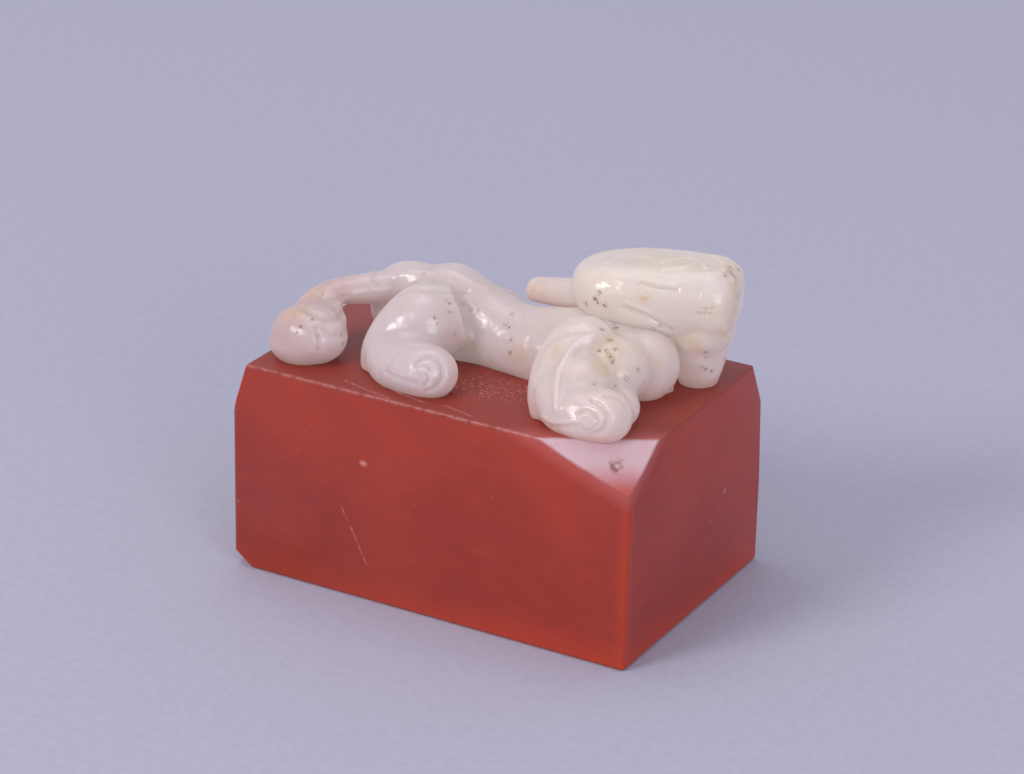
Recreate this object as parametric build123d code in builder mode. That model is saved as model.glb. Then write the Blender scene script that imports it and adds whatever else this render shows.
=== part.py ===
from build123d import *
import os

# Stone seal with a crawling hornless dragon carved as its knob.
# Millimetres. X runs along the seal towards the dragon's head, -Y is the dragon's near side,
# +Z is up. The origin is the middle of the face that prints.

os.makedirs("parts", exist_ok=True)

# Block
block_length = 26.0
block_width = 17.0
block_height = 13.0
corner_round = 0.35
foot_round = 0.3

# Bevels that lean the upper part of the tail end and of the back inwards
end_bevel_inset = 1.0
end_bevel_drop = 3.2
back_bevel_inset = 1.5
back_bevel_drop = 3.1

# Facet across the near upper corner, where the pale layer comes down
facet_along = 5.6
facet_across = 3.1
facet_drop = 2.15
pale_layer_depth = 0.3

# Shallow facet on the head end, near the back
cheek_facet_across = 5.3
cheek_facet_drop = 8.2
cheek_facet_depth = 0.25

# Worn bottom corner at the tail end
wear_along = 1.5
wear_across = 1.3
wear_height = 1.1

# Face that prints: square spirals cut into it, inside a plain rim
rim_width = 1.5
groove_width = 0.8
groove_gap = 0.8
groove_depth = 0.5
spiral_columns = 3
spiral_rows = 2

# Knob: its reach over the block and its height above it
knob_length = 25.0
knob_width = 15.0
knob_height = 7.5

# Thicknesses of the carved forms
torso_width = 5.2
torso_depth = 7.8
haunch_width = 4.7
shoulder_width = 4.6
hind_paw_length = 5.0
fore_paw_length = 5.4
paw_width = 3.5
paw_height = 2.8
far_paw_width = 3.0
far_paw_height = 2.4
tail_width = 1.5
tail_curl_length = 4.7
tail_curl_width = 4.0
tail_curl_height = 3.5
skull_width = 5.8
skull_height = 4.3
skull_fullness = 0.36
muzzle_width = 3.9
chest_length = 4.0
chest_width = 4.3
chest_height = 4.2
lock_width = 1.6

# How finely the rounded forms are drawn
outline_sides = 20

# Slices of a rounded mass: where each lies along its half length, and its size there
pebble_shares = [
    (-0.97, 0.24),
    (-0.77, 0.64),
    (-0.41, 0.91),
    (0.00, 1.00),
    (0.41, 0.91),
    (0.77, 0.64),
    (0.97, 0.24),
]

# Scroll at the toe of each near paw
scroll_radius = 1.55
scroll_thickness = 1.7
scroll_bevel = 0.35
scroll_step = 0.5
scroll_halves = 3
scroll_groove_width = 0.26
scroll_groove_depth = 0.22
scroll_facing_shares = (0.35, -0.60, 0.72)

# Where the paws and their scrolls sit, and how many degrees a paw turns from the seal's length
near_hind_paw_shares = (-0.105, -0.385, 0.135)
near_hind_paw_turn = -18
near_hind_scroll_shares = (-0.047, -0.420, 0.185)
near_fore_paw_shares = (0.356, -0.410, 0.130)
near_fore_scroll_shares = (0.406, -0.440, 0.180)
far_hind_paw_shares = (-0.165, 0.370, 0.080)
far_hind_paw_turn = 15
far_fore_paw_shares = (0.335, 0.370, 0.080)
far_fore_paw_turn = -10


def spot(along_share, across_share, up_share):
    """A place on or above the block's top, in shares of the knob's own reach."""
    return Vector(
        along_share * knob_length,
        across_share * knob_width,
        block_height + up_share * knob_height,
    )


def outline(across, high, fullness=0):
    """Corners of a many-sided oval, which fullness swells towards a soft-cornered box."""
    corners = []
    for number in range(outline_sides):
        unit = Vector(1, 0).rotate(Axis.Z, 360 * (number + 1 / 2) / outline_sides)
        along = unit.X * abs(unit.X) ** -fullness * across / 2
        upward = unit.Y * abs(unit.Y) ** -fullness * high / 2
        corners.append((along, upward))
    return corners


def eased(rows_shares):
    """The given stations with one more between each two, on a smooth curve through them."""
    last = len(rows_shares) - 1
    smooth = []
    for number in range(last):
        before, start = rows_shares[max(number - 1, 0)], rows_shares[number]
        end, after = rows_shares[number + 1], rows_shares[min(number + 2, last)]
        smooth.append(start)
        smooth.append([(9 * (s + e) - b - a) / 16 for b, s, e, a in zip(before, start, end, after)])
    return smooth + [rows_shares[last]]


def limb(width, depth, stations_shares, fullness=0):
    """A swelling, tapering form through outlines that stand square to its path."""
    rows = eased(stations_shares)
    places = [spot(*row[:3]) for row in rows]
    with BuildPart() as form:
        for number, row in enumerate(rows):
            before = places[max(number - 1, 0)]
            after = places[min(number + 1, len(places) - 1)]
            heading = (after - before).normalized()
            level = Vector(-heading.Y, heading.X, 0)
            with BuildSketch(Plane(origin=places[number], x_dir=level, z_dir=heading)):
                Polygon(*outline(row[3] * width, row[4] * depth, fullness), align=None)
        loft(ruled=True)
    return form.part


def pebble(centre, length, width, height, turn=0):
    """A rounded mass, as outlines that swell and shrink along its length."""
    with BuildPart() as mass:
        for place_share, size_share in pebble_shares:
            with BuildSketch(Plane.YZ.offset(place_share * length / 2)):
                Polygon(*outline(size_share * width, size_share * height), align=None)
        loft(ruled=True)
    return Location(centre, (0, 0, turn)) * mass.part


def carved(name, form, neighbours):
    """One carved feature, cut clean at the block's top and at its neighbours, and written out."""
    with BuildPart() as feature:
        add(form)
        split(bisect_by=Plane.XY.offset(block_height), keep=Keep.TOP)
        for neighbour in neighbours:
            add(neighbour, mode=Mode.SUBTRACT)
    whole = feature.part.solids().sort_by(SortBy.VOLUME)[-1]
    with BuildPart() as kept:
        add(whole)
    kept.part.label = name
    export_step(kept.part, "parts/" + name + ".step")
    return kept.part


def scroll_back(centre_shares):
    """The plane of a scroll's hidden side, behind its centre."""
    facing = Vector(*scroll_facing_shares).normalized()
    return Plane(origin=spot(*centre_shares) - facing * (scroll_thickness / 2), z_dir=facing)


def scroll_disc(centre_shares):
    """The round-edged disc that a paw's toe curls into."""
    back = scroll_back(centre_shares)
    with BuildPart() as disc:
        with BuildSketch(back):
            Circle(scroll_radius)
        extrude(amount=scroll_thickness)
        chamfer(disc.edges().group_by(Axis(back.origin, back.z_dir))[-1], scroll_bevel)
    return disc.part


def scroll(name, centre_shares, neighbours):
    """The curled toe of a paw: its disc, facing out, with a groove that winds inwards."""
    with BuildPart() as curl:
        add(scroll_disc(centre_shares))
        with BuildSketch(scroll_back(centre_shares).offset(scroll_thickness)):
            with BuildLine():
                for number in range(scroll_halves):
                    middle = (scroll_step / 2 * (number % 2), 0)
                    radius = scroll_radius - scroll_bevel - scroll_step / 2 * number
                    CenterArc(middle, radius, 180 * (number % 2), 180)
            trace(line_width=scroll_groove_width)
        extrude(amount=-scroll_groove_depth, mode=Mode.SUBTRACT)
    return carved(name, curl.part, neighbours)


# Stone blank: the block with its bevels and facets, before anything is cut into its face
near_corner = Vector(block_length / 2, -block_width / 2, block_height)
facet_normal = Vector(1 / facet_along, -1 / facet_across, 1 / facet_drop).normalized()
facet_plane = Plane(origin=near_corner - Vector(facet_along, 0, 0), z_dir=facet_normal)

cheek_start = Vector(block_length / 2, block_width / 2 - cheek_facet_across, block_height)
cheek_low = Vector(block_length / 2, block_width / 2, block_height - cheek_facet_drop)
cheek_deep = Vector(block_length / 2 - cheek_facet_depth, block_width / 2, block_height)
cheek_normal = (cheek_low - cheek_start).cross(cheek_deep - cheek_start).normalized()
cheek_plane = Plane(origin=cheek_start, z_dir=cheek_normal)

worn_corner = Vector(-block_length / 2, -block_width / 2, 0)
wear_normal = Vector(-1 / wear_along, -1 / wear_across, -1 / wear_height).normalized()
wear_plane = Plane(origin=worn_corner + Vector(wear_along, 0, 0), z_dir=wear_normal)

with BuildPart() as blank:
    with BuildSketch():
        Rectangle(block_length, block_width)
    extrude(amount=block_height)
    top_face = blank.faces().sort_by(Axis.Z)[-1]
    end_edge = blank.edges().group_by(Axis.Z)[-1].sort_by(Axis.X)[0]
    chamfer(end_edge, length=end_bevel_inset, length2=end_bevel_drop, reference=top_face)
    top_face = blank.faces().sort_by(Axis.Z)[-1]
    back_edge = top_face.edges().sort_by(Axis.Y)[-1]
    chamfer(back_edge, length=back_bevel_inset, length2=back_bevel_drop, reference=top_face)
    split(bisect_by=cheek_plane, keep=Keep.BOTTOM)
    split(bisect_by=wear_plane, keep=Keep.BOTTOM)
    fillet(blank.edges().filter_by(Axis.Z), corner_round)
    fillet(blank.edges().group_by(Axis.Z)[0], foot_round)
    split(bisect_by=facet_plane, keep=Keep.BOTTOM)

pale_plane = facet_plane.offset(-pale_layer_depth)

# Square spirals of the printing face, one in each cell of a grid
field_length = block_length - 2 * rim_width
field_width = block_width - 2 * rim_width
cell_length = field_length / spiral_columns
cell_width = field_width / spiral_rows
groove_pitch = groove_width + groove_gap


def spiral_corners(length, width):
    """Corners of a square spiral that winds inwards, one groove pitch at a time."""
    left, right, low, high = -length / 2, length / 2, -width / 2, width / 2
    start = left
    corners = []
    while right - left > groove_pitch and high - low > groove_pitch:
        corners += [(start, low), (right, low), (right, high), (left, high)]
        start = left
        left, right = left + groove_pitch, right - groove_pitch
        low, high = low + groove_pitch, high - groove_pitch
    return corners


with BuildSketch() as spiral:
    with BuildLine():
        Polyline(*spiral_corners(cell_length - groove_pitch, cell_width - groove_pitch))
    trace(line_width=groove_width)

with BuildPart() as seal_block:
    add(blank.part)
    split(bisect_by=pale_plane, keep=Keep.BOTTOM)
    with BuildSketch():
        with GridLocations(cell_length, cell_width, spiral_columns, spiral_rows):
            add(spiral.sketch)
    extrude(amount=groove_depth, mode=Mode.SUBTRACT)
seal_block.part.label = "seal_block"
export_step(seal_block.part, "parts/seal_block.step")

with BuildPart() as white_corner_layer:
    add(blank.part)
    split(bisect_by=pale_plane, keep=Keep.TOP)
white_corner_layer.part.label = "white_corner_layer"
export_step(white_corner_layer.part, "parts/white_corner_layer.step")


# Torso: high at the hips, low at the waist, broad at the shoulders
torso_shares = [
    (-0.305, 0.03, 0.13, 0.40, 0.62),
    (-0.235, 0.045, 0.13, 0.76, 0.82),
    (-0.130, 0.05, 0.13, 0.96, 1.00),
    (-0.030, 0.045, 0.13, 0.84, 0.74),
    (0.060, 0.03, 0.13, 0.88, 0.62),
    (0.220, 0.04, 0.13, 1.12, 0.79),
    (0.310, 0.09, 0.13, 1.04, 0.82),
    (0.400, 0.16, 0.13, 0.60, 0.60),
]
torso = carved("dragon_torso", limb(torso_width, torso_depth, torso_shares), [])

# Head, turned a little to the far side and bowed so that the muzzle points down at the block
skull_shares = [
    (0.168, 0.11, 0.62, 0.45, 0.50),
    (0.200, 0.13, 0.64, 0.80, 0.82),
    (0.272, 0.17, 0.65, 0.97, 0.97),
    (0.360, 0.22, 0.66, 1.00, 1.00),
    (0.450, 0.26, 0.67, 0.94, 0.96),
    (0.508, 0.29, 0.67, 0.80, 0.86),
    (0.528, 0.30, 0.67, 0.56, 0.62),
]
skull = carved("dragon_skull", limb(skull_width, skull_height, skull_shares, skull_fullness), [torso])
muzzle_shares = [
    (0.455, 0.26, 0.62, 1.00, 1.00),
    (0.455, 0.25, 0.42, 0.92, 0.88),
    (0.450, 0.23, 0.22, 0.74, 0.72),
    (0.446, 0.22, -0.02, 0.54, 0.54),
]
muzzle = carved("dragon_muzzle", limb(muzzle_width, muzzle_width, muzzle_shares), [torso, skull])
chest_shares = (0.367, 0.015, 0.22)
chest = carved(
    "dragon_chest",
    pebble(spot(*chest_shares), chest_length, chest_width, chest_height),
    [torso, skull, muzzle],
)
lock_shares = [
    (0.005, 0.20, 0.46, 0.80, 0.85),
    (0.100, 0.18, 0.51, 1.05, 1.05),
    (0.200, 0.15, 0.59, 1.20, 1.20),
]
lock = carved("mane_lock", limb(lock_width, lock_width, lock_shares), [torso, skull])

# Hind legs: a haunch that tapers to the heel, then a paw whose toe curls up into a scroll
near_hind_shares = [
    (-0.105, -0.10, 0.36, 0.80, 0.80),
    (-0.140, -0.17, 0.31, 1.00, 1.00),
    (-0.178, -0.24, 0.22, 0.82, 0.84),
    (-0.204, -0.29, 0.11, 0.62, 0.64),
    (-0.210, -0.31, -0.02, 0.50, 0.50),
]
near_hind_leg = carved("near_hind_leg", limb(haunch_width, haunch_width, near_hind_shares), [torso])
near_hind_scroll = scroll("near_hind_scroll", near_hind_scroll_shares, [torso, near_hind_leg])
near_hind_paw = carved(
    "near_hind_paw",
    pebble(spot(*near_hind_paw_shares), hind_paw_length, paw_width, paw_height, near_hind_paw_turn),
    [torso, near_hind_leg, scroll_disc(near_hind_scroll_shares)],
)
far_hind_shares = [
    (-0.190, 0.12, 0.28, 0.86, 0.74),
    (-0.215, 0.19, 0.22, 0.94, 0.80),
    (-0.235, 0.28, 0.11, 0.68, 0.62),
    (-0.240, 0.33, -0.02, 0.50, 0.50),
]
far_hind_leg = carved("far_hind_leg", limb(haunch_width, haunch_width, far_hind_shares), [torso])
far_hind_paw = carved(
    "far_hind_paw",
    pebble(
        spot(*far_hind_paw_shares), hind_paw_length, far_paw_width, far_paw_height, far_hind_paw_turn
    ),
    [torso, far_hind_leg],
)

# Forelegs: a shoulder that tapers to the wrist, then a paw like the hind one
near_fore_shares = [
    (0.292, -0.08, 0.36, 0.84, 0.84),
    (0.270, -0.15, 0.33, 1.00, 1.00),
    (0.253, -0.24, 0.24, 0.94, 0.94),
    (0.253, -0.33, 0.13, 0.72, 0.72),
    (0.264, -0.37, -0.02, 0.56, 0.56),
]
near_foreleg = carved(
    "near_foreleg",
    limb(shoulder_width, shoulder_width, near_fore_shares),
    [torso, skull, chest],
)
near_fore_scroll = scroll(
    "near_fore_scroll", near_fore_scroll_shares, [torso, chest, near_foreleg]
)
near_fore_paw = carved(
    "near_fore_paw",
    pebble(spot(*near_fore_paw_shares), fore_paw_length, paw_width, paw_height),
    [torso, chest, near_foreleg, scroll_disc(near_fore_scroll_shares)],
)
far_fore_shares = [
    (0.290, 0.15, 0.32, 0.84, 0.80),
    (0.262, 0.23, 0.27, 0.95, 0.90),
    (0.252, 0.31, 0.13, 0.70, 0.66),
    (0.262, 0.36, -0.02, 0.54, 0.50),
]
far_foreleg = carved(
    "far_foreleg",
    limb(shoulder_width, shoulder_width, far_fore_shares),
    [torso, skull, muzzle],
)
far_fore_paw = carved(
    "far_fore_paw",
    pebble(
        spot(*far_fore_paw_shares), fore_paw_length, far_paw_width, far_paw_height, far_fore_paw_turn
    ),
    [torso, skull, muzzle, far_foreleg],
)

# Tail: off the rump, down the near side, and rolled into a curl on the block
tail_curl_shares = (-0.382, -0.368, 0.185)
tail_curl = carved(
    "tail_curl",
    pebble(spot(*tail_curl_shares), tail_curl_length, tail_curl_width, tail_curl_height),
    [],
)
tail_shares = [
    (-0.255, 0.03, 0.375, 1.25, 1.25),
    (-0.300, -0.04, 0.410, 1.34, 1.34),
    (-0.345, -0.11, 0.410, 1.18, 1.18),
    (-0.388, -0.17, 0.398, 1.02, 1.02),
    (-0.396, -0.24, 0.352, 1.75, 0.95),
    (-0.380, -0.32, 0.262, 2.30, 0.95),
]
tail = carved("tail", limb(tail_width, tail_width, tail_shares), [torso, tail_curl])
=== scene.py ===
import logging
import math
from dataclasses import dataclass
from enum import Enum

import bmesh
import bpy
from mathutils import Matrix, Vector, kdtree
from mathutils.bvhtree import BVHTree


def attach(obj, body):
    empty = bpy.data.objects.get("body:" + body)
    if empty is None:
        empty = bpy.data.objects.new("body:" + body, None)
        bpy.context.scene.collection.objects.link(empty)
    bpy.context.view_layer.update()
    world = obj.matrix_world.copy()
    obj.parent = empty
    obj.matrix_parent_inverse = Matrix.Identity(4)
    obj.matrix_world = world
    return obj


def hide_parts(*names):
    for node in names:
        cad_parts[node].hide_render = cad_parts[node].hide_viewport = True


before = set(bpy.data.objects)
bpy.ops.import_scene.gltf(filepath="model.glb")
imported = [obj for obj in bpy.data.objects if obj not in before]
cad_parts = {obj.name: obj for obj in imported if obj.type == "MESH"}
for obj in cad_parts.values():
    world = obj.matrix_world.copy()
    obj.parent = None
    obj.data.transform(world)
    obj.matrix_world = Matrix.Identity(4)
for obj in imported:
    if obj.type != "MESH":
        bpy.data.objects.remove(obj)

LOG = logging.getLogger("seal")
MM = 0.001

Point = tuple[float, float]
Place = tuple[float, float, float]
Colour = tuple[float, float, float]
Station = tuple[float, float, float, float, float]
Path = tuple[Station, ...]
Socket = bpy.types.NodeSocket


class Section(Enum):
    """Shape of a carved form where it is cut across."""

    OVAL = "oval"
    BOXY = "boxy"


def block_corner() -> Place:
    """Finds the block's near upper corner at the head's end, as if nothing were cut off it.

    Returns:
        The corner, in millimetres.
    """
    places = [vert.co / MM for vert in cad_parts["seal_block"].data.vertices]
    along_block, across_block, upward = zip(*places)
    return round(max(along_block), 3), round(min(across_block), 3), round(max(upward), 3)


HEAD_END, NEAR_SIDE, BLOCK_TOP = block_corner()


# Mesh helpers


# How finely forms are drawn; a boxy corner is a share of the ring's shorter side
PATH_STEPS = 4
RING_POINTS = 28
BOXY_CORNER = 0.42
BOXY_CORNER_STEPS = 6
PEBBLE_STEPS = 4


def blended(stations: Path, steps: int) -> list[Station]:
    """Adds stations between the given ones along a smooth curve.

    Args:
        stations: place, width and depth at each station, in millimetres.
        steps: how many stretches each gap is divided into.

    Returns:
        The longer list of stations.
    """
    rows = [Vector(row) for row in stations]
    smooth: list[Station] = []
    for number in range(len(rows) - 1):
        before = rows[max(number - 1, 0)]
        start, end = rows[number], rows[number + 1]
        after = rows[min(number + 2, len(rows) - 1)]
        for step in range(steps):
            share = step / steps
            row = 0.5 * (
                2 * start
                + (end - before) * share
                + (2 * before - 5 * start + 4 * end - after) * share**2
                + (3 * start - before - 3 * end + after) * share**3
            )
            smooth.append(tuple(row))
    smooth.append(tuple(rows[-1]))
    return smooth


def add_ring(
    form: bmesh.types.BMesh,
    centre: Vector,
    heading: Vector,
    row: Station,
    section: Section,
) -> list[bmesh.types.BMEdge]:
    """Adds one closed ring square to the heading.

    Args:
        form: the mesh that takes the ring.
        centre: middle of the ring, in millimetres.
        heading: direction of the path there.
        row: the station, for its width and depth.
        section: oval or boxy.

    Returns:
        The ring's edges.
    """
    level = Vector((-heading.y, heading.x, 0)).normalized()
    upward = heading.cross(level)
    place = Matrix.Translation(centre) @ Matrix((level, upward, heading)).transposed().to_4x4()
    width, depth = row[3:]
    if section is Section.OVAL:
        size = Matrix.Diagonal((width / 2, depth / 2, 1, 1))
        made = bmesh.ops.create_circle(form, segments=RING_POINTS, radius=1, matrix=place @ size)
        verts = set(made["verts"])
    else:
        size = Matrix.Diagonal((width, depth, 1, 1)) @ Matrix.Rotation(math.pi / 4, 4, "Z")
        made = bmesh.ops.create_circle(form, segments=4, radius=math.sqrt(0.5), matrix=place @ size)
        rounded = bmesh.ops.bevel(
            form,
            geom=made["verts"],
            offset=BOXY_CORNER * min(width, depth),
            segments=BOXY_CORNER_STEPS,
            profile=0.5,
            affect="VERTICES",
            material=-1,
        )
        verts = set(rounded["verts"])
    return [edge for edge in form.edges if edge.verts[0] in verts and edge.verts[1] in verts]


def add_limb(form: bmesh.types.BMesh, stations: Path, section: Section) -> None:
    """Adds a closed, swelling and tapering form along a path.

    Args:
        form: the mesh that takes it.
        stations: place, width and depth along the path, in millimetres.
        section: oval or boxy.
    """
    rows = blended(stations, PATH_STEPS)
    places = [Vector(row[:3]) for row in rows]
    rings = []
    for number, row in enumerate(rows):
        heading = places[min(number + 1, len(rows) - 1)] - places[max(number - 1, 0)]
        rings.append(add_ring(form, places[number], heading.normalized(), row, section))
    for first, second in zip(rings, rings[1:]):
        bmesh.ops.bridge_loops(form, edges=first + second)
    bmesh.ops.holes_fill(form, edges=rings[0] + rings[-1], sides=0)


@dataclass(frozen=True)
class Pebble:
    """One smooth rounded mass, in millimetres, turned by degrees about the upright axis."""

    name: str
    centre: Place
    size: Place
    turn: float = 0.0

    def add_to(self, form: bmesh.types.BMesh) -> None:
        """Adds the mass to a mesh.

        Args:
            form: the mesh that takes it.
        """
        length, width, height = self.size
        place = (
            Matrix.Translation(self.centre)
            @ Matrix.Rotation(math.radians(self.turn), 4, "Z")
            @ Matrix.Diagonal((length / 2, width / 2, height / 2, 1))
        )
        bmesh.ops.create_icosphere(form, subdivisions=PEBBLE_STEPS, radius=1, matrix=place)


def settled(name: str, form: bmesh.types.BMesh) -> bpy.types.Object:
    """Makes an object of a mesh that is in metres, at the origin.

    Args:
        name: name of the piece.
        form: its mesh, which is used up.

    Returns:
        The new object, linked to the scene.
    """
    mesh = bpy.data.meshes.new(name)
    form.to_mesh(mesh)
    form.free()
    piece = bpy.data.objects.new(name, mesh)
    bpy.context.scene.collection.objects.link(piece)
    for face in mesh.polygons:
        face.use_smooth = True
    return piece


def finished_mesh(piece: bpy.types.Object) -> bmesh.types.BMesh:
    """Applies a scratch object's modifiers and removes the object.

    Args:
        piece: the scratch object.

    Returns:
        Its mesh with the modifiers applied.
    """
    shown = piece.evaluated_get(bpy.context.evaluated_depsgraph_get())
    form = bmesh.new()
    form.from_mesh(shown.to_mesh())
    shown.to_mesh_clear()
    mesh = piece.data
    bpy.data.objects.remove(piece)
    bpy.data.meshes.remove(mesh)
    return form


# Carving


class View(Enum):
    """How the points of a line or a spot on the stone are given."""

    PHOTO = "pixels of the photograph"
    BACK = "x and z in millimetres, seen from behind"


@dataclass(frozen=True)
class Viewpoint:
    """Where the photograph was taken from, and how lines on the back are drawn onto it.

    Sizes are in millimetres, angles in degrees, and the frame in pixels.
    """

    place: Place = (92.75, -166.2, 94.31)
    azimuth: float = 28.957
    elevation: float = 23.574
    roll: float = 1.277
    lens: float = 125.84
    sensor: float = 36.0
    frame_width: int = 1024
    frame_height: int = 774
    behind: float = 30.0
    foot_margin: float = 0.02

    def axes(self) -> tuple[Vector, Vector, Vector]:
        """Works out the camera's own directions.

        Returns:
            Rightward, upward and backward.
        """
        azimuth, elevation, roll = map(math.radians, (self.azimuth, self.elevation, self.roll))
        flat = math.cos(elevation)
        backward = Vector((math.sin(azimuth) * flat, -math.cos(azimuth) * flat, math.sin(elevation)))
        level = Vector((math.cos(azimuth), math.sin(azimuth), 0))
        upright = backward.cross(level)
        rightward = level * math.cos(roll) + upright * math.sin(roll)
        upward = upright * math.cos(roll) - level * math.sin(roll)
        return rightward, upward, backward

    def heading(self, pixel: Point) -> Vector:
        """Works out the way from the camera through a pixel of the photograph.

        Args:
            pixel: the pixel, counted from the upper left.

        Returns:
            The direction.
        """
        rightward, upward, backward = self.axes()
        reach = self.lens / self.sensor * self.frame_width
        across = (pixel[0] - self.frame_width / 2) / reach
        down = (pixel[1] - self.frame_height / 2) / reach
        return (rightward * across - upward * down - backward).normalized()

    def landed(self, tree: BVHTree, points: tuple[Point, ...], view: View) -> list[Vector]:
        """Finds where chosen points lie on the stone.

        Args:
            tree: the piece's surface, in millimetres.
            points: the points, as they are chosen.
            view: how they are given.

        Returns:
            Their places on the surface, without those that miss it or lie at its foot.
        """
        places = []
        for point in points:
            if view is View.PHOTO:
                found = tree.ray_cast(Vector(self.place), self.heading(point))[0]
            else:
                start = Vector((point[0], self.behind, point[1]))
                found = tree.ray_cast(start, Vector((0, -1, 0)))[0]
            if found is not None and found.z > BLOCK_TOP + self.foot_margin:
                places.append(found)
        return places


VIEWPOINT = Viewpoint()


@dataclass(frozen=True)
class Stroke:
    """One line that the engraver's wheel left; a negative depth raises it."""

    name: str
    width: float
    depth: float
    points: tuple[Point, ...]
    view: View = View.PHOTO


@dataclass(frozen=True)
class Stain:
    """Spots of colour in the stone, all of one size, in pixels of the photograph."""

    name: str
    radius: float
    strength: float
    points: tuple[Point, ...]


BODY_STROKES: tuple[Stroke, ...] = (
    Stroke(
        "spine ridge",
        0.41,
        -0.09,
        ((392, 276), (408, 274), (424, 273), (440, 272), (455, 274), (470, 282), (486, 290)),
    ),
    Stroke(
        "haunch top groove",
        0.32,
        0.14,
        ((397, 295), (405, 291), (414, 289), (424, 289), (438, 290), (452, 292), (466, 292)),
    ),
    Stroke("haunch back groove", 0.26, 0.09, ((470, 309), (464, 304), (456, 300), (448, 300))),
    Stroke("hind heel crease", 0.22, 0.07, ((386, 372), (395, 376), (405, 380), (416, 383))),
    Stroke("hind heel ridge", 0.19, -0.03, ((390, 372), (400, 375), (408, 377), (416, 379))),
    Stroke(
        "hind spiral outer",
        0.24,
        0.17,
        ((417, 361), (424, 357), (433, 357), (440, 363), (443, 372), (441, 381), (434, 388), (425, 391)),
    ),
    Stroke(
        "hind spiral inner",
        0.19,
        0.14,
        ((416, 366), (423, 366), (429, 369), (427, 374), (428, 380), (425, 386)),
    ),
    Stroke(
        "hind spiral ridge",
        0.20,
        -0.09,
        ((419, 369), (426, 371), (431, 378), (429, 386), (423, 391)),
    ),
    Stroke("hind toe line", 0.26, 0.05, ((397, 352), (392, 358), (388, 366), (386, 372))),
    Stroke(
        "arm ridge",
        0.32,
        -0.20,
        ((592, 337), (580, 342), (571, 351), (563, 365), (558, 380), (557, 395), (557, 408)),
    ),
    Stroke("wrist crease", 0.23, 0.13, ((608, 387), (616, 389), (623, 391), (628, 397), (631, 405))),
    Stroke(
        "fore paw ridge",
        0.22,
        -0.09,
        ((543, 416), (550, 421), (565, 422), (575, 421), (583, 427), (592, 429)),
    ),
    Stroke("fore paw groove", 0.22, 0.11, ((541, 421), (550, 426), (565, 427), (574, 426))),
    Stroke(
        "fore spiral outer",
        0.24,
        0.17,
        ((592, 400), (600, 404), (606, 412), (607, 421), (602, 430), (594, 434)),
    ),
    Stroke(
        "fore spiral inner",
        0.19,
        0.14,
        ((579, 413), (586, 411), (593, 415), (597, 422), (594, 428), (586, 430), (580, 425)),
    ),
    Stroke("fore spiral core", 0.16, 0.07, ((584, 418), (589, 419), (590, 423))),
    Stroke("toe gap", 0.22, 0.12, ((606, 396), (614, 397), (622, 401), (627, 408))),
    Stroke(
        "tail wrap",
        0.32,
        0.14,
        ((302, 308), (310, 312), (320, 317), (328, 320), (338, 318), (344, 310)),
    ),
    Stroke("tail wrap low", 0.32, 0.09, ((324, 327), (332, 334), (341, 335), (347, 330))),
    Stroke("tail line", 0.23, 0.07, ((322, 290), (320, 296), (326, 300), (336, 299), (345, 296))),
    Stroke("rump fold", 0.24, 0.11, ((376, 272), (374, 279), (380, 284))),
    Stroke(
        "arm fold",
        0.41,
        0.11,
        ((536, 366), (540, 356), (546, 346), (556, 338), (570, 332), (584, 330)),
    ),
    Stroke("tail crack", 0.15, 0.09, ((316, 328), (318, 337), (319, 350))),
)

HEAD_STROKES: tuple[Stroke, ...] = (
    Stroke("crown arc", 0.19, -0.09, ((662, 262), (675, 259), (690, 258), (700, 262), (706, 268))),
    Stroke("crown arc low", 0.18, -0.07, ((664, 269), (676, 268), (690, 266), (697, 262))),
    Stroke(
        "crown curl",
        0.19,
        -0.09,
        ((712, 256), (720, 260), (724, 267), (722, 273), (714, 274), (706, 273)),
    ),
    Stroke("crown back", 0.23, -0.07, ((606, 262), (618, 256), (634, 255), (650, 258))),
    Stroke("brow ridge", 0.16, -0.07, ((640, 279), (652, 282), (662, 284), (674, 286))),
    Stroke("brow groove", 0.20, 0.12, ((641, 283), (652, 286), (662, 288), (676, 290))),
    Stroke("eye hollow", 0.22, 0.06, ((698, 296), (700, 290), (704, 286))),
    Stroke("cheek ridge", 0.18, -0.08, ((627, 303), (635, 306), (642, 309), (650, 314))),
    Stroke(
        "cheek groove",
        0.26,
        0.15,
        ((625, 308), (634, 311), (643, 315), (652, 319), (661, 325), (671, 330)),
    ),
    Stroke("mouth upper", 0.15, 0.07, ((703, 309), (709, 309), (715, 309))),
    Stroke("mouth lower", 0.15, 0.07, ((697, 314), (705, 314), (712, 314))),
)

BODY_STAINS: tuple[Stain, ...] = (
    Stain("arm", 1.06, 0.95, ((607, 352),)),
    Stain("arm low", 1.19, 0.68, ((605, 368),)),
    Stain("shoulder", 0.62, 0.68, ((610, 340),)),
    Stain("waist", 0.62, 0.47, ((556, 352),)),
    Stain("chest", 0.75, 0.34, ((656, 364),)),
    Stain("belly", 0.88, 0.41, ((470, 342),)),
    Stain("belly right", 1.00, 0.41, ((516, 355),)),
    Stain("tail top", 0.69, 0.61, ((290, 314), (304, 312))),
    Stain("tail bend", 0.88, 0.61, ((313, 292),)),
    Stain("tail olive", 0.50, 0.54, ((347, 297),)),
)

HEAD_STAINS: tuple[Stain, ...] = (
    Stain("head corner", 0.88, 0.74, ((730, 272), (735, 283), (738, 295))),
    Stain("head front", 0.94, 0.61, ((733, 312), (728, 330))),
    Stain("cheek", 0.44, 0.74, ((644, 297),)),
    Stain("crown", 0.62, 0.41, ((633, 262),)),
    Stain("chin", 1.12, 0.41, ((690, 345),)),
    Stain("lock end", 1.12, 0.47, ((533, 291), (540, 296))),
)

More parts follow.
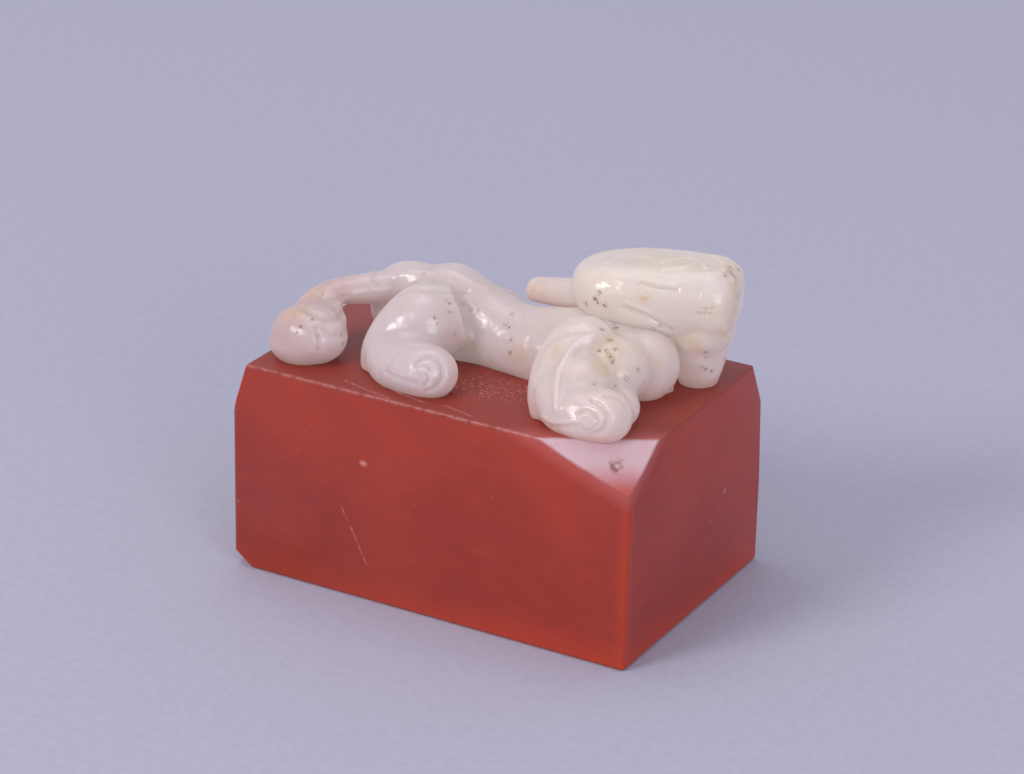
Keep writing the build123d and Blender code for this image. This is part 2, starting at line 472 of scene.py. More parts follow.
BODY_SPECKS: tuple[Stain, ...] = (
    Stain("torso specks", 0.17, 0.90, ((506, 324), (512, 314), (510, 340), (510, 353), (509, 327))),
    Stain(
        "waist specks",
        0.15,
        0.78,
        (
            (449, 312), (463, 304), (470, 310), (450, 303), (434, 318), (437, 324), (422, 290),
            (424, 274), (455, 334),
        ),
    ),
    Stain(
        "arm",
        0.19,
        0.95,
        (
            (610, 340), (600, 351), (607, 351), (610, 356), (615, 349), (602, 329), (614, 323),
            (616, 328), (612, 361),
        ),
    ),
    Stain("chest", 0.16, 0.78, ((638, 370), (624, 377), (627, 380), (616, 386), (594, 384))),
    Stain(
        "tail",
        0.17,
        0.95,
        ((301, 327), (297, 332), (313, 319), (343, 335), (343, 343), (318, 336), (309, 290)),
    ),
    Stain("tail crack", 0.12, 0.72, ((316, 328), (318, 337), (319, 350))),
)

HEAD_SPECKS: tuple[Stain, ...] = (
    Stain("head left", 0.19, 0.95, ((599, 293), (595, 299), (586, 304), (598, 302), (605, 305))),
    Stain("head corner", 0.19, 0.95, ((725, 275), (731, 272), (738, 269), (734, 276), (731, 268))),
    Stain("chin", 0.16, 0.78, ((642, 333), (640, 337), (634, 331), (653, 329), (660, 326), (671, 330))),
    Stain("muzzle", 0.16, 0.78, ((706, 352), (705, 369), (712, 371), (706, 358), (702, 368))),
    Stain("mouth", 0.11, 0.60, ((706, 309), (712, 309), (699, 314), (705, 314), (710, 314))),
)


def curl(x: float, z: float) -> tuple[Point, ...]:
    """Draws a paw's spiral as it is seen from behind.

    Args:
        x: place of its middle.
        z: height of its middle.

    Returns:
        The spiral's points, from its outer end inwards.
    """
    half_width, half_height, closing = 0.85, 0.75, 0.045
    steps, start, turn = 16, 200, 32
    points = []
    for step in range(steps):
        angle = math.radians(start - turn * step)
        reach = 1.0 - closing * step
        across = half_width * reach * math.cos(angle)
        upward = half_height * reach * math.sin(angle)
        points.append((x + across, z + upward))
    return tuple(points)


FAR_BODY_STROKES: tuple[Stroke, ...] = (
    Stroke("far hind spiral", 0.18, 0.14, curl(-3.1, 13.9), View.BACK),
    Stroke("far fore spiral", 0.18, 0.14, curl(9.5, 13.9), View.BACK),
    Stroke(
        "far haunch groove",
        0.22,
        0.16,
        ((-7.0, 15.0), (-6.6, 15.8), (-5.8, 16.3), (-4.8, 16.4), (-4.0, 16.0)),
        View.BACK,
    ),
    Stroke(
        "far shoulder groove",
        0.22,
        0.16,
        ((4.9, 15.4), (5.3, 16.2), (6.1, 16.8), (7.0, 16.9)),
        View.BACK,
    ),
)

FAR_HEAD_STROKES: tuple[Stroke, ...] = (
    Stroke(
        "far cheek groove",
        0.20,
        0.14,
        ((7.0, 17.0), (8.4, 16.85), (9.8, 16.8), (11.0, 16.9)),
        View.BACK,
    ),
    Stroke("far brow", 0.20, -0.12, ((8.2, 18.9), (9.6, 19.1), (11.2, 18.9)), View.BACK),
)


@dataclass(frozen=True)
class Carving:
    """Everything that is engraved in, or shows through, one piece's surface."""

    strokes: tuple[Stroke, ...]
    stains: tuple[Stain, ...]
    specks: tuple[Stain, ...]


# Gap between a stroke's points in millimetres, and how many widths strokes and stains reach
STROKE_STEP = 0.04
STROKE_REACH = 2.2
STAIN_REACH = 2.0


def along(points: list[Vector], gap: float) -> list[Vector]:
    """Sets points at even gaps along a smooth line.

    Args:
        points: the line's own points, in millimetres.
        gap: about how far apart the new points are.

    Returns:
        The new points.
    """
    if len(points) < 2:
        return points
    rows = tuple((*point, 0.0, 0.0) for point in points)
    longest = max((end - start).length for start, end in zip(points, points[1:]))
    return [Vector(row[:3]) for row in blended(rows, max(2, math.ceil(longest / gap)))]


def faded(distance: float, width: float) -> float:
    """Falls smoothly from 1 on a line to almost 0 at twice its width."""
    return math.exp(-((distance / width) ** 2) * 2)


def point_tree(places: list[Vector]) -> kdtree.KDTree:
    """Sorts places so that those near a point are quickly found.

    Args:
        places: the places, in millimetres.

    Returns:
        The tree, which numbers the places as the list does.
    """
    tree = kdtree.KDTree(len(places))
    for index, place in enumerate(places):
        tree.insert(place, index)
    tree.balance()
    return tree


def carve(form: bmesh.types.BMesh, surface: BVHTree, strokes: tuple[Stroke, ...]) -> None:
    """Sinks strokes into a fine mesh, or raises them where their depth is negative.

    Args:
        form: the mesh, in millimetres.
        surface: its surface before any stroke.
        strokes: the lines to cut.
    """
    form.verts.ensure_lookup_table()
    form.normal_update()
    tree = point_tree([vert.co for vert in form.verts])
    for stroke in strokes:
        nearest: dict[int, float] = {}
        for point in along(VIEWPOINT.landed(surface, stroke.points, stroke.view), STROKE_STEP):
            for _, index, distance in tree.find_range(point, STROKE_REACH * stroke.width):
                nearest[index] = min(nearest.get(index, distance), distance)
        for index, distance in nearest.items():
            vert = form.verts[index]
            vert.co -= vert.normal * stroke.depth * faded(distance, stroke.width)
        form.normal_update()


def stain(piece: bpy.types.Object, surface: BVHTree, name: str, stains: tuple[Stain, ...]) -> None:
    """Stores how strong a stain is at each corner point of a piece.

    Args:
        piece: the piece, in metres.
        surface: its surface before any stroke, in millimetres.
        name: name of the stored value, which the material reads.
        stains: the spots, with their sizes in millimetres.
    """
    mesh = piece.data
    tree = point_tree([vert.co / MM for vert in mesh.vertices])
    values = [0.0] * len(mesh.vertices)
    for spots in stains:
        for place in VIEWPOINT.landed(surface, spots.points, View.PHOTO):
            for _, index, distance in tree.find_range(place, STAIN_REACH * spots.radius):
                values[index] = max(values[index], spots.strength * faded(distance, spots.radius))
    mesh.attributes.new(name, "FLOAT", "POINT").data.foreach_set("value", values)


# Finishes


@dataclass(frozen=True)
class Ripple:
    """Faint unevenness of a face, in millimetres."""

    size: float
    detail: float
    depth: float


class Paint:
    """Adds nodes to one material in few words."""

    # Sockets of a Mix node: the share, both colours and the mixed colour
    MIX_INPUTS = (0, 6, 7)
    MIX_RESULT = 2
    # Keeps a line of no length from being divided by nothing
    LEAST_SQUARE = 1e-12

    def __init__(self, name: str) -> None:
        """Starts a material with an empty node tree.

        Args:
            name: name of the material.
        """
        self.material = bpy.data.materials.new(name)
        self.material.use_nodes = True
        self.tree = self.material.node_tree
        self.tree.nodes.clear()

    def add(self, kind: str, **values: object) -> bpy.types.Node:
        """Adds one node.

        Args:
            kind: the node's type.
            values: its properties.

        Returns:
            The node.
        """
        node = self.tree.nodes.new(kind)
        for key, value in values.items():
            setattr(node, key, value)
        return node

    def link(self, start: Socket, end: Socket) -> None:
        """Joins an output to an input."""
        self.tree.links.new(start, end)

    def coordinates(self) -> Socket:
        """Gives the piece's own coordinates, in metres."""
        return self.add("ShaderNodeTexCoord").outputs["Object"]

    def math(
        self,
        operation: str,
        first: object,
        second: object = 0.0,
        clamp: bool = False,
    ) -> Socket:
        """Works out one sum.

        Args:
            operation: the Math node's operation.
            first: a socket or a number.
            second: a socket or a number.
            clamp: whether the result stays between 0 and 1.

        Returns:
            The result's socket.
        """
        node = self.add("ShaderNodeMath", operation=operation, use_clamp=clamp)
        for socket, value in zip(node.inputs, (first, second)):
            if isinstance(value, Socket):
                self.link(value, socket)
            else:
                socket.default_value = value
        return node.outputs[0]

    def span(self, value: Socket, low: float, high: float) -> Socket:
        """Maps a value smoothly to 0 at low and 1 at high.

        Args:
            value: the value's socket.
            low: where the result is 0.
            high: where the result is 1.

        Returns:
            The result's socket.
        """
        node = self.add("ShaderNodeMapRange", interpolation_type="SMOOTHSTEP")
        self.link(value, node.inputs["Value"])
        flip = low > high
        node.inputs["From Min"].default_value = high if flip else low
        node.inputs["From Max"].default_value = low if flip else high
        node.inputs["To Min"].default_value = 1.0 if flip else 0.0
        node.inputs["To Max"].default_value = 0.0 if flip else 1.0
        return node.outputs["Result"]

    def noise(self, size_mm: float, detail: float, stretch: Place = (1.0, 1.0, 1.0)) -> Socket:
        """Gives a cloudy value between 0 and 1.

        Args:
            size_mm: size of the clouds, in millimetres.
            detail: how many finer layers there are.
            stretch: how much closer the clouds lie along each axis.

        Returns:
            The value's socket.
        """
        place = self.add("ShaderNodeMapping")
        place.inputs["Scale"].default_value = stretch
        self.link(self.coordinates(), place.inputs["Vector"])
        node = self.add("ShaderNodeTexNoise")
        node.inputs["Scale"].default_value = 1 / (size_mm * MM)
        node.inputs["Detail"].default_value = detail
        self.link(place.outputs["Vector"], node.inputs["Vector"])
        return node.outputs["Fac"]

    def mix(self, share: object, first: object, second: object) -> Socket:
        """Mixes two colours.

        Args:
            share: how much of the second colour there is, a socket or a number.
            first: a colour or its socket.
            second: a colour or its socket.

        Returns:
            The mixed colour's socket.
        """
        node = self.add("ShaderNodeMix", data_type="RGBA")
        for number, value in zip(self.MIX_INPUTS, (share, first, second)):
            socket = node.inputs[number]
            if isinstance(value, Socket):
                self.link(value, socket)
            elif isinstance(value, tuple):
                socket.default_value = (*value, 1)
            else:
                socket.default_value = value
        return node.outputs[self.MIX_RESULT]

    def over(self, colour: object, mask: Socket, added: Colour, strength: float) -> Socket:
        """Lays a colour over another where a mask shows it, as strongly as given."""
        return self.mix(self.math("MULTIPLY", mask, strength), colour, added)

    def clouds(self, size_mm: float, detail: float, low: float, high: float) -> Socket:
        """Gives 0 where the noise of a size is below low, and 1 where it is above high."""
        return self.span(self.noise(size_mm, detail), low, high)

    def drift(self, size_mm: float, detail: float, reach: float) -> Socket:
        """Gives a cloudy value on both sides of 0, for a layer's uneven edge."""
        return self.math("MULTIPLY", self.math("SUBTRACT", self.noise(size_mm, detail), 0.5), reach)

    def height(self, start: float) -> Socket:
        """Gives the height above a level, in millimetres."""
        return self.slope((0, 0, 1), (0, 0, start))

    def slope(self, direction: Place, through: Place) -> Socket:
        """Gives the distance from a plane, in millimetres.

        Args:
            direction: the way that the distance grows.
            through: a point of the plane, in millimetres.

        Returns:
            The distance's socket.
        """
        unit = Vector(direction).normalized()
        node = self.add("ShaderNodeVectorMath", operation="DOT_PRODUCT")
        self.link(self.coordinates(), node.inputs[0])
        node.inputs[1].default_value = unit / MM
        return self.math("SUBTRACT", node.outputs["Value"], unit.dot(Vector(through)))

    def streak(self, start: Place, end: Place, width: float) -> Socket:
        """Gives 1 on a straight line between two points, and 0 beyond its width.

        Args:
            start: one end, in millimetres.
            end: the other end, which may be the same point.
            width: how far from the line the value reaches 0.

        Returns:
            The value's socket.
        """
        reach = (Vector(end) - Vector(start)) * MM
        offset = self.add("ShaderNodeVectorMath", operation="SUBTRACT")
        self.link(self.coordinates(), offset.inputs[0])
        offset.inputs[1].default_value = Vector(start) * MM
        project = self.add("ShaderNodeVectorMath", operation="DOT_PRODUCT")
        self.link(offset.outputs["Vector"], project.inputs[0])
        project.inputs[1].default_value = reach / max(reach.length_squared, self.LEAST_SQUARE)
        nearest = self.add("ShaderNodeVectorMath", operation="SCALE")
        nearest.inputs[0].default_value = reach
        share = self.math("MULTIPLY", project.outputs["Value"], 1.0, clamp=True)
        self.link(share, nearest.inputs["Scale"])
        gap = self.add("ShaderNodeVectorMath", operation="DISTANCE")
        self.link(offset.outputs["Vector"], gap.inputs[0])
        self.link(nearest.outputs["Vector"], gap.inputs[1])
        return self.span(self.math("DIVIDE", gap.outputs["Value"], MM), width, 0.0)

    def stored(self, name: str) -> Socket:
        """Gives a value that the piece's mesh holds."""
        return self.add("ShaderNodeAttribute", attribute_name=name).outputs["Fac"]

    def bump(self, ripples: tuple[Ripple, ...]) -> Socket:
        """Makes a face uneven.

        Args:
            ripples: the unevenness, from coarse to fine.

        Returns:
            The normal's socket.
        """
        normal = None
        for ripple in ripples:
            node = self.add("ShaderNodeBump")
            node.inputs["Distance"].default_value = ripple.depth * MM
            self.link(self.noise(ripple.size, ripple.detail), node.inputs["Height"])
            if normal is not None:
                self.link(normal, node.inputs["Normal"])
            normal = node.outputs["Normal"]
        return normal

    def surface(self, colour: Socket, normal: Socket, values: dict[str, object]) -> None:
        """Adds the surface itself.

        Args:
            colour: the colour's socket.
            normal: the normal's socket.
            values: the shader's other values, by the names of its inputs.
        """
        shader = self.add("ShaderNodeBsdfPrincipled")
        for name, value in values.items():
            shader.inputs[name].default_value = value
        self.link(colour, shader.inputs["Base Color"])
        self.link(normal, shader.inputs["Normal"])
        output = self.add("ShaderNodeOutputMaterial")
        self.link(shader.outputs[0], output.inputs["Surface"])


@dataclass(frozen=True)
class Mark:
    """One scratch, pit or worn line in the red stone, in millimetres."""

    name: str
    points: tuple[Place, ...]
    width: float
    strength: float
    broken: bool = False


BLOCK_MARKS: tuple[Mark, ...] = (
    Mark("pit on the near side", ((-4.15, NEAR_SIDE, 8.7), (-4.0, NEAR_SIDE, 8.7)), 0.26, 0.9),
    Mark(
        "long scratch",
        ((-5.6, NEAR_SIDE, 5.7), (-4.8, NEAR_SIDE, 4.3), (-3.8, NEAR_SIDE, 2.3)),
        0.10,
        0.5,
        broken=True,
    ),
    # Lighter line along the near top edge: partly wear, partly painted highlight
    Mark(
        "worn near edge with painted highlight",
        ((-12.4, NEAR_SIDE, BLOCK_TOP), (7.4, NEAR_SIDE, BLOCK_TOP)),
        0.26,
        0.4,
        broken=True,
    ),
    Mark(
        "scratch by the hind paw",
        ((-3.9, -6.9, BLOCK_TOP), (-2.4, -7.3, BLOCK_TOP), (-0.5, -7.7, BLOCK_TOP)),
        0.16,
        0.55,
        broken=True,
    ),
    Mark(
        "scratch before the hind paw",
        ((-6.0, -7.4, BLOCK_TOP), (-4.2, -7.9, BLOCK_TOP), (-2.6, -8.2, BLOCK_TOP)),
        0.13,
        0.45,
        broken=True,
    ),
    Mark("scratch at the waist", ((0.6, -7.4, BLOCK_TOP), (2.6, -7.9, BLOCK_TOP)), 0.12, 0.35),
    Mark("pit on the head end", ((HEAD_END, 3.5, 6.4), (HEAD_END, 3.6, 6.4)), 0.24, 0.6),
    Mark("small pit on the head end", ((HEAD_END, 1.8, 5.1), (HEAD_END, 1.85, 5.1)), 0.18, 0.4),
)

AGATE_IOR = 1.54


@dataclass(frozen=True)
class RedAgate:
    """Polished red-brown agate that turns milky at the near upper corner."""

    body: Colour = (0.370, 0.039, 0.021)
    dusk: Colour = (0.318, 0.032, 0.019)
    ember: Colour = (0.490, 0.050, 0.017)
    shade: Colour = (0.255, 0.032, 0.019)
    rose: Colour = (0.540, 0.130, 0.120)
    worn: Colour = (0.600, 0.250, 0.220)
    milk: Colour = (0.600, 0.400, 0.430)
    rust: Colour = (0.230, 0.060, 0.040)
    # Painted shade: from this height up, the top face and its rim take the darker shade colour
    shade_top_start: float = 12.8
    # Painted highlight: height and width of the brighter strip down the near upright edge
    edge_highlight_top: float = 9.5
    edge_highlight_width: float = 0.9
    facet_start: Place = (7.4, NEAR_SIDE, BLOCK_TOP)
    facet_run: Place = (5.6, 3.1, 2.15)
    rough_patch: tuple[Place, Place] = ((-0.6, -4.4, BLOCK_TOP), (3.4, -3.4, BLOCK_TOP))
    rough_width: float = 2.6
    rust_spot: tuple[Place, Place] = ((11.65, -7.6, 12.15), (11.7, -7.5, 11.95))
    rust_inner: float = 0.36
    rust_outer: float = 0.62
    rust_contrast: float = 2.2
    ripples: tuple[Ripple, ...] = (Ripple(3.0, 2.0, 0.05), Ripple(0.30, 2.0, 0.010))

    def layered(self, paint: Paint) -> Socket:
        """Mixes the red stone with its clouds and the pale layer at the corner, paints shade on the top
        face and paints a highlight down the near upright edge.

        Args:
            paint: the material being built.

        Returns:
            The colour's socket.
        """
        clouds = paint.clouds(size_mm=8.0, detail=4.0, low=0.38, high=0.64)
        colour = paint.mix(clouds, self.body, self.dusk)
        streaky = paint.noise(size_mm=2.0, detail=5.0, stretch=(1, 1, 2.2))
        veins = paint.span(streaky, low=0.45, high=0.72)
        colour = paint.over(colour, veins, self.ember, strength=0.22)
        height = paint.height(0.0)
        foot = paint.span(height, low=2.2, high=-0.4)
        colour = paint.over(colour, foot, self.ember, strength=0.85)
        # Painted shade: the top face is laid over with a darker red
        painted_shade_top = paint.span(paint.height(self.shade_top_start), low=-0.1, high=0.15)
        colour = paint.over(colour, painted_shade_top, self.shade, strength=0.85)
        # Painted highlight: a brighter red strip down the rounded near upright edge
        corner = (HEAD_END, NEAR_SIDE)
        edge = paint.streak((*corner, 0.0), (*corner, self.edge_highlight_top), self.edge_highlight_width)
        colour = paint.over(colour, edge, self.ember, strength=0.6)
        along_block, across_block, down = self.facet_run
        facet = paint.slope((-1 / along_block, 1 / across_block, -1 / down), self.facet_start)
        depth = paint.math("ADD", facet, paint.drift(size_mm=1.6, detail=3.0, reach=0.3))
        colour = paint.over(colour, paint.span(depth, low=1.2, high=0.0), self.rose, strength=0.5)
        laid_open = paint.span(depth, low=0.22, high=0.0)
        upper = paint.span(height, low=10.9, high=12.3)
        return paint.mix(paint.math("MULTIPLY", laid_open, upper), colour, self.milk)

    def marked(self, paint: Paint, colour: Socket) -> Socket:
        """Adds scratches, pits, the rough patch by the waist and the rusty ring.

        Args:
            paint: the material being built.
            colour: the unmarked colour's socket.

        Returns:
            The colour's socket.
        """
        gaps = paint.clouds(size_mm=0.5, detail=3.0, low=0.36, high=0.56)
        for mark in BLOCK_MARKS:
            for start, end in zip(mark.points, mark.points[1:]):
                line = paint.math("MULTIPLY", paint.streak(start, end, mark.width), mark.strength)
                if mark.broken:
                    line = paint.math("MULTIPLY", line, gaps)
                colour = paint.mix(line, colour, self.worn)
        grains = paint.clouds(size_mm=0.20, detail=2.0, low=0.52, high=0.66)
        patch = paint.streak(*self.rough_patch, self.rough_width)
        colour = paint.over(colour, paint.math("MULTIPLY", grains, patch), self.worn, strength=0.6)
        pits = paint.clouds(size_mm=0.32, detail=1.0, low=0.77, high=0.84)
        colour = paint.over(colour, pits, self.worn, strength=0.45)
        inner = paint.streak(*self.rust_spot, self.rust_inner)
        outer = paint.streak(*self.rust_spot, self.rust_outer)
        ring = paint.math("SUBTRACT", outer, inner, clamp=True)
        ring = paint.math("MULTIPLY", ring, self.rust_contrast, clamp=True)
        return paint.over(colour, paint.math("MULTIPLY", ring, gaps), self.rust, strength=0.85)

    def make(self) -> bpy.types.Material:
        """Builds the material.

        Returns:
            The finished material.
        """
        paint = Paint("red_agate")
        colour = self.marked(paint, self.layered(paint))
        values = {
            "Roughness": 0.36,
            "Specular IOR Level": 0.34,
            "Subsurface Weight": 0.12,
            "Subsurface Radius": (1.0, 0.25, 0.15),
            "Subsurface Scale": 0.0012,
            "IOR": AGATE_IOR,
        }
        paint.surface(colour, paint.bump(self.ripples), values)
        return paint.material


@dataclass(frozen=True)
class PaleAgate:
    """Polished milky agate, pink where it grows out of the red layer, with a painted glow that lights it
    from within.
    """

    milk: Colour = (0.550, 0.495, 0.470)
    cream: Colour = (0.565, 0.500, 0.405)
    lilac: Colour = (0.510, 0.405, 0.395)
    blush: Colour = (0.370, 0.235, 0.235)
    pearl: Colour = (0.415, 0.350, 0.385)
    rose: Colour = (0.520, 0.210, 0.180)
    stain: Colour = (0.470, 0.330, 0.150)
    speck: Colour = (0.130, 0.080, 0.055)
    # Painted light: colour of the glow the pale stone gives off though it is no lamp
    painted_glow: Colour = (1.0, 0.79, 0.70)
    rear_start: Place = (6.0, 0, 0)
    rear_length: float = 7.0
    tail_start: Place = (-6.0, 0, 14)
    tail_heading: Place = (-1, 0.1, -0.2)
    tail_length: float = 3.2
    speck_contrast: float = 1.5
    ripples: tuple[Ripple, ...] = (Ripple(1.5, 2.0, 0.16), Ripple(0.45, 2.0, 0.020))

    def layered(self, paint: Paint) -> Socket:
        """Mixes the clear stone, the rosy foot and the darker rear and tail.

        Args:
            paint: the material being built.

        Returns:
            The colour's socket.
        """
        clouds = paint.clouds(size_mm=3.0, detail=3.0, low=0.35, high=0.70)
        colour = paint.mix(clouds, self.milk, self.cream)
        drift = paint.drift(size_mm=1.8, detail=3.0, reach=1.6)
        depth = paint.math("ADD", paint.height(BLOCK_TOP), drift)
        colour = paint.over(colour, paint.span(depth, low=6.4, high=1.2), self.lilac, strength=0.95)
        colour = paint.over(colour, paint.span(depth, low=1.0, high=-0.3), self.rose, strength=0.85)
        rear = paint.span(paint.slope((-1, 0, 0), self.rear_start), 0.0, self.rear_length)
        colour = paint.over(colour, rear, self.pearl, strength=0.62)
        tail = paint.span(paint.slope(self.tail_heading, self.tail_start), 0.0, self.tail_length)
        return paint.over(colour, tail, self.blush, strength=0.75)

    def stained(self, paint: Paint, colour: Socket) -> Socket:
        """Adds the stains and specks that the mesh holds.

        Args:
            paint: the material being built.
            colour: the unstained colour's socket.

        Returns:
            The colour's socket.
        """
        patches = paint.clouds(size_mm=0.5, detail=3.0, low=0.30, high=0.56)
        colour = paint.mix(paint.math("MULTIPLY", paint.stored("stain"), patches), colour, self.stain)
        crumbs = paint.clouds(size_mm=0.13, detail=2.0, low=0.40, high=0.54)
        specks = paint.math("MULTIPLY", paint.stored("speck"), self.speck_contrast, clamp=True)
        return paint.mix(paint.math("MULTIPLY", specks, crumbs), colour, self.speck)

    def make(self) -> bpy.types.Material:
        """Builds the material.

        Returns:
            The finished material.
        """
        paint = Paint("pale_agate")
        colour = self.stained(paint, self.layered(paint))
        values = {
            "Roughness": 0.23,
            # Painted light: the emission makes the pale stone glow and brightens its shaded sides
            "Emission Color": (*self.painted_glow, 1),
            "Emission Strength": 0.150,
            "Subsurface Weight": 0.85,
            "Subsurface Radius": (1.0, 0.66, 0.58),
            "Subsurface Scale": 0.0028,
            "IOR": AGATE_IOR,
        }
        paint.surface(colour, paint.bump(self.ripples), values)
        return paint.material


@dataclass(frozen=True)
class Paper:
    """Plain pale paper under the seal."""

    colour: Colour = (0.470, 0.458, 0.566)
    darker: float = 0.95
    ripples: tuple[Ripple, ...] = (Ripple(0.22, 2.0, 0.012),)

    def make(self) -> bpy.types.Material:
        """Builds the material.

        Returns:
            The finished material.
        """
        paint = Paint("paper")
        grain = paint.clouds(size_mm=0.6, detail=3.0, low=0.3, high=0.7)
        shaded = tuple(self.darker * part for part in self.colour)
        colour = paint.mix(grain, self.colour, shaded)
        paint.surface(colour, paint.bump(self.ripples), {"Roughness": 0.9})
        return paint.material


# The seal


@dataclass
class SealBlock:
    """The block of red stone, with its edges worn soft but for those low down.

    Sizes are in millimetres and angles in degrees.
    """

    edge_wear: float = 0.16
    sharp_angle: float = 9.0
    sharp_below: float = 1.5
    weld: float = 0.0005
    seam_weld: float = 0.002
    flat_angle: float = 0.6
    nodes: tuple[str, ...] = ("seal_block", "white_corner_layer")

    def merged(self) -> bmesh.types.BMesh:
        """Joins the block and the pale layer into one closed mesh.

        Returns:
            The mesh, in millimetres.
        """
        scratch = []
        for name in self.nodes:
            form = bmesh.new()
            form.from_mesh(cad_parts[name].data)
            bmesh.ops.scale(form, vec=(1 / MM,) * 3, verts=form.verts)
            bmesh.ops.remove_doubles(form, verts=form.verts, dist=self.weld)
            scratch.append(settled("scratch_" + name, form))
        union = scratch[0].modifiers.new("union", "BOOLEAN")
        union.operation = "UNION"
        union.solver = "EXACT"
        union.object = scratch[1]
        form = finished_mesh(scratch[0])
        bpy.data.objects.remove(scratch[1])
        bmesh.ops.remove_doubles(form, verts=form.verts, dist=self.seam_weld)
        flat = math.radians(self.flat_angle)
        bmesh.ops.dissolve_limit(form, angle_limit=flat, verts=form.verts, edges=form.edges)
        return form

    def build(self) -> bpy.types.Object:
        """Makes the block, its upper edges rounded.

        Returns:
            The finished piece.
        """
        form = self.merged()
        worn = [
            edge
            for edge in form.edges
            if len(edge.link_faces) == 2
            and edge.calc_face_angle(0) > math.radians(self.sharp_angle)
            and min(vert.co.z for vert in edge.verts) > self.sharp_below
        ]
        bmesh.ops.bevel(
            form,
            geom=worn,
            offset=self.edge_wear,
            segments=3,
            profile=0.5,
            affect="EDGES",
            material=-1,
            clamp_overlap=True,
        )
        bmesh.ops.scale(form, vec=(MM,) * 3, verts=form.verts)
        piece = settled("stone_block", form)
        piece.data.materials.append(RedAgate().make())
        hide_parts(*self.nodes)
        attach(piece, "root")
        return piece


@dataclass
class Sculpture:
    """One piece of the dragon, fused and carved from overlapping forms, in millimetres."""

    name: str
    nodes: tuple[str, ...]
    voxel: float
    pebbles: tuple[Pebble, ...]
    carving: Carving
    fillet: float = 0.31
    softening: int = 8
    smoothing: float = 0.5
    sunk: float = 0.03

    def limbs(self) -> list[tuple[Path, Section]]:
        """Lists the swelling forms, each with its section."""
        raise NotImplementedError

    def shape(self) -> bmesh.types.BMesh:
        """Puts all the forms into one mesh.

        Returns:
            The overlapping forms.
        """
        form = bmesh.new()
        for stations, section in self.limbs():
            add_limb(form, stations, section)
        for pebble in self.pebbles:
            pebble.add_to(form)
        bmesh.ops.recalc_face_normals(form, faces=form.faces)
        return form

    def fused(self) -> bmesh.types.BMesh:
        """Fuses the forms, then swells and shrinks them to fill the hollows between them.

        Returns:
            The fused and softened mesh.
        """
        scratch = settled("scratch_" + self.name, self.shape())
        for move in (0.0, self.fillet, -self.fillet):
            swell = scratch.modifiers.new("swell", "DISPLACE")
            swell.mid_level = 0.0
            swell.strength = move
            if move >= 0:
                fuse = scratch.modifiers.new("fuse", "REMESH")
                fuse.mode = "VOXEL"
                fuse.voxel_size = self.voxel
            soften = scratch.modifiers.new("soften", "SMOOTH")
            soften.iterations = self.softening
            soften.factor = self.smoothing
        return finished_mesh(scratch)

    def seat(self, form: bmesh.types.BMesh) -> None:
        """Cuts the mesh off level, a little inside the block, and closes it there.

        Args:
            form: the carved mesh.
        """
        cut = bmesh.ops.bisect_plane(
            form,
            geom=form.verts[:] + form.edges[:] + form.faces[:],
            plane_co=(0, 0, BLOCK_TOP - self.sunk),
            plane_no=(0, 0, -1),
            clear_outer=True,
        )
        rim = [item for item in cut["geom_cut"] if isinstance(item, bmesh.types.BMEdge)]
        bmesh.ops.holes_fill(form, edges=rim, sides=0)

    def build(self) -> bpy.types.Object:
        """Fuses, carves and stains the piece.

        Returns:
            The finished piece.
        """
        form = self.fused()
        surface = BVHTree.FromBMesh(form)
        carve(form, surface, self.carving.strokes)
        self.seat(form)
        bmesh.ops.scale(form, vec=(MM,) * 3, verts=form.verts)
        piece = settled(self.name, form)
        stain(piece, surface, "stain", self.carving.stains)
        stain(piece, surface, "speck", self.carving.specks)
        piece.data.materials.append(PaleAgate().make())
        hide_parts(*self.nodes)
        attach(piece, "root")
        return piece


